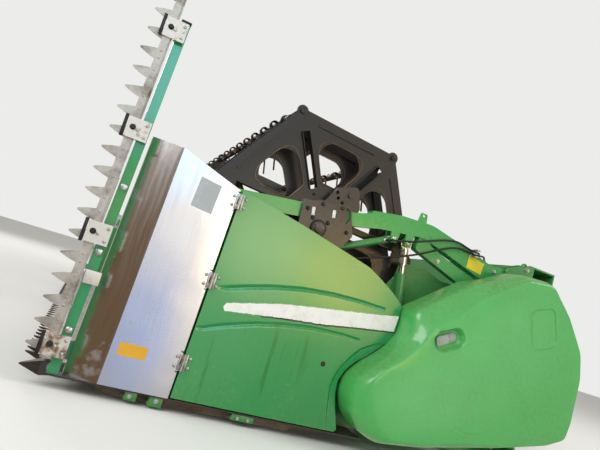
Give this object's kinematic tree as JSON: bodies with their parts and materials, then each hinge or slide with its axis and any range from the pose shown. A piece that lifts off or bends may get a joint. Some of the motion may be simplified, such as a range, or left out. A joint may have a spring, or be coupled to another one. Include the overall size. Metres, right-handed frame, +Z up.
{
  "type": "combine grain header",
  "caption": "Grain header of a combine harvester with rapeseed extension table, upright side knives, tined pick-up reel, feed auger and green end covers",
  "frame": {"origin": "On the ground under the middle of the header: halfway across its width and halfway from the tips of the knife guards to the back of the end shields.", "axes": "+X to the header's left end (the end in the picture), +Y to the rear, where the combine couples on, +Z up. Metres in the record and GLB, millimetres in STEP."},
  "size_m": [5.8, 2.2761, 1.4682],
  "materials": {
    "green_paint": "glossy, dusty",
    "green_plastic": "moulded, glossy",
    "black_paint": "satin, dusty",
    "stainless": "brushed",
    "zinc": "zinc, rusty in places",
    "steel_sheet": "worn bright",
    "wear_steel": "scraped, rusty edges",
    "auger_paint": "worn",
    "chrome_rod": "polished"
  },
  "bodies": {
    "header": {"arm_brackets": "green_paint", "auger_trough": "green_paint", "back_posts": "green_paint", "back_wall": "green_paint", "drive_case": "green_paint", "end_wall_left": "green_paint", "end_wall_right": "green_paint", "extension_table": "steel_sheet", "feeder_adapter": "black_paint", "floor_frame": "black_paint", "knife_clamps": "zinc", "knife_guards": "black_paint", "low_beam": "green_paint", "runners": "wear_steel", "shaft_bearings": "black_paint", "side_box_left": "stainless", "side_box_right": "stainless", "side_post_left": "green_paint", "side_post_right": "green_paint", "side_sills": "black_paint", "top_beam": "green_paint"},
    "side_panel_body_left": {"side_panel_left": "green_paint"},
    "side_panel_body_right": {"side_panel_right": "green_paint"},
    "end_shield_body_left": {"end_shield_left": "green_plastic"},
    "end_shield_body_right": {"end_shield_right": "green_plastic"},
    "side_knife_body_left": {"side_knife_left": "zinc"},
    "side_knife_body_right": {"side_knife_right": "zinc"},
    "main_knife_body": {"main_knife": "zinc"},
    "auger": {"auger_drum": "auger_paint", "auger_flights": "auger_paint"},
    "shaft": {"drive_shaft": "wear_steel"},
    "arms": {"reel_arms": "green_paint"},
    "carriages": {"reel_carriages": "black_paint"},
    "reel": {"reel_tube": "black_paint", "reel_shafts": "wear_steel", "reel_spiders": "black_paint"},
    "reel_cam": {"reel_cam_spider": "black_paint"},
    "lift_barrels": {"lift_ram_barrel_left": "green_paint", "lift_ram_barrel_right": "green_paint"},
    "lift_rods": {"lift_ram_rod_left": "chrome_rod", "lift_ram_rod_right": "chrome_rod"},
    "slide_barrels": {"slide_ram_barrel_left": "green_paint", "slide_ram_barrel_right": "green_paint"},
    "slide_rods": {"slide_ram_rod_left": "chrome_rod", "slide_ram_rod_right": "chrome_rod"},
    "bat_1": {"reel_bat_1": "black_paint"},
    "bat_2": {"reel_bat_2": "black_paint"},
    "bat_3": {"reel_bat_3": "black_paint"},
    "bat_4": {"reel_bat_4": "black_paint"},
    "bat_5": {"reel_bat_5": "black_paint"},
    "bat_6": {"reel_bat_6": "black_paint"}
  },
  "joints": [
    {"name": "reel_lift", "type": "hinge", "parent": "header", "child": "arms", "pos_m": [0, 0.792, 0.91], "axis": [-1, 0, 0], "range_deg": [0, 28]},
    {"name": "reel_fore_aft", "type": "slide", "parent": "arms", "child": "carriages", "axis": [0, -0.989, -0.1482], "range_m": [0, 0.35]},
    {"name": "reel_spin", "type": "hinge", "parent": "carriages", "child": "reel", "pos_m": [0, -0.242, 0.818], "axis": [-1, 0, 0], "continuous": true},
    {"name": "reel_cam_spin", "type": "hinge", "parent": "carriages", "child": "reel_cam", "pos_m": [0, -0.207, 0.862], "axis": [-1, 0, 0], "continuous": true},
    {"name": "bat_1_turn", "type": "hinge", "parent": "reel", "child": "bat_1", "pos_m": [0, -0.45613, 1.25317], "axis": [-1, 0, 0], "continuous": true},
    {"name": "bat_2_turn", "type": "hinge", "parent": "reel", "child": "bat_2", "pos_m": [0, -0.72593, 0.85014], "axis": [-1, 0, 0], "continuous": true},
    {"name": "bat_3_turn", "type": "hinge", "parent": "reel", "child": "bat_3", "pos_m": [0, -0.5118, 0.41497], "axis": [-1, 0, 0], "continuous": true},
    {"name": "bat_4_turn", "type": "hinge", "parent": "reel", "child": "bat_4", "pos_m": [0, -0.02787, 0.38283], "axis": [-1, 0, 0], "continuous": true},
    {"name": "bat_5_turn", "type": "hinge", "parent": "reel", "child": "bat_5", "pos_m": [0, 0.24193, 0.78586], "axis": [-1, 0, 0], "continuous": true},
    {"name": "bat_6_turn", "type": "hinge", "parent": "reel", "child": "bat_6", "pos_m": [0, 0.0278, 1.22103], "axis": [-1, 0, 0], "continuous": true},
    {"name": "auger_spin", "type": "hinge", "parent": "header", "child": "auger", "pos_m": [0, 0.593, 0.387], "axis": [1, 0, 0], "continuous": true},
    {"name": "drive_shaft_spin", "type": "hinge", "parent": "header", "child": "shaft", "pos_m": [1.7, 1.01, 0.42], "axis": [1, 0, 0], "continuous": true},
    {"name": "main_knife_stroke", "type": "slide", "parent": "header", "child": "main_knife_body", "axis": [1, 0, 0], "range_m": [-0.038, 0.038]},
    {"name": "side_knife_stroke_left", "type": "slide", "parent": "header", "child": "side_knife_body_left", "axis": [0, 0.0185, 0.9998], "range_m": [-0.019, 0.019]},
    {"name": "side_panel_open_left", "type": "hinge", "parent": "header", "child": "side_panel_body_left", "pos_m": [2.759, -0.61779, 0.49], "axis": [0, -0.0279, -0.9996], "range_deg": [0, 95]},
    {"name": "end_shield_open_left", "type": "hinge", "parent": "header", "child": "end_shield_body_left", "pos_m": [2.745, 1.068, 0.43], "axis": [0, 0, 1], "range_deg": [0, 80]},
    {"name": "side_knife_stroke_right", "type": "slide", "parent": "header", "child": "side_knife_body_right", "axis": [0, 0.0185, 0.9998], "range_m": [-0.019, 0.019]},
    {"name": "side_panel_open_right", "type": "hinge", "parent": "header", "child": "side_panel_body_right", "pos_m": [-2.759, -0.61779, 0.49], "axis": [0, 0.0279, 0.9996], "range_deg": [0, 95]},
    {"name": "end_shield_open_right", "type": "hinge", "parent": "header", "child": "end_shield_body_right", "pos_m": [-2.745, 1.068, 0.43], "axis": [0, 0, -1], "range_deg": [0, 80]},
    {"name": "lift_barrel_turn", "type": "hinge", "parent": "header", "child": "lift_barrels", "pos_m": [0, 0.293, 0.31], "axis": [-1, 0, 0], "range_deg": [0, 7]},
    {"name": "lift_rod_out", "type": "slide", "parent": "lift_barrels", "child": "lift_rods", "axis": [0, -0.1523, 0.9883], "range_m": [0, 0.28]},
    {"name": "slide_barrel_turn", "type": "hinge", "parent": "arms", "child": "slide_barrels", "pos_m": [0, 0.128, 0.894], "axis": [-1, 0, 0], "range_deg": [0, 8.5]},
    {"name": "slide_rod_out", "type": "slide", "parent": "slide_barrels", "child": "slide_rods", "axis": [0, -0.8979, -0.4402], "range_m": [0, 0.345]}
  ],
  "couplings": [
    {"joint": "reel_cam_spin", "follows": "reel_spin", "ratio": 1},
    {"joint": "lift_barrel_turn", "follows": "reel_lift", "ratio": 0.23042},
    {"joint": "lift_rod_out", "follows": "reel_lift", "m_per_rad": 0.56209},
    {"joint": "slide_barrel_turn", "follows": "reel_fore_aft", "rad_per_m": 0.41071},
    {"joint": "slide_rod_out", "follows": "reel_fore_aft", "ratio": 0.97336},
    {"joint": "bat_1_turn", "follows": "reel_spin", "ratio": -1},
    {"joint": "bat_2_turn", "follows": "reel_spin", "ratio": -1},
    {"joint": "bat_3_turn", "follows": "reel_spin", "ratio": -1},
    {"joint": "bat_4_turn", "follows": "reel_spin", "ratio": -1},
    {"joint": "bat_5_turn", "follows": "reel_spin", "ratio": -1},
    {"joint": "bat_6_turn", "follows": "reel_spin", "ratio": -1}
  ]
}
